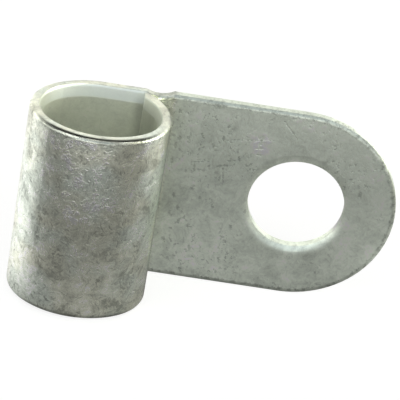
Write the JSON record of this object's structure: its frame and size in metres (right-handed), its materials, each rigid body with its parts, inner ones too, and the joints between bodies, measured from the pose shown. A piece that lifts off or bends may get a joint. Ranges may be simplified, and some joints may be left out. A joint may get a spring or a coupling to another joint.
{
  "type": "cable lug",
  "caption": "Side entry cable lug folded from one tinned copper strip: a rolled barrel for the conductor across a round ended palm with a stud hole.",
  "frame": {"origin": "bottom centre of the bounding box, with the lug standing on the lower end of its barrel", "axes": "+X along the palm towards its round end, +Y out of the back of the palm, +Z along the barrel axis"},
  "size_m": [0.0324, 0.0107, 0.0177],
  "materials": {
    "tinned_copper": "dull tin plating on copper, mottled and scuffed"
  },
  "bodies": {
    "root": {"cable_lug": "tinned_copper"}
  },
  "joints": []
}
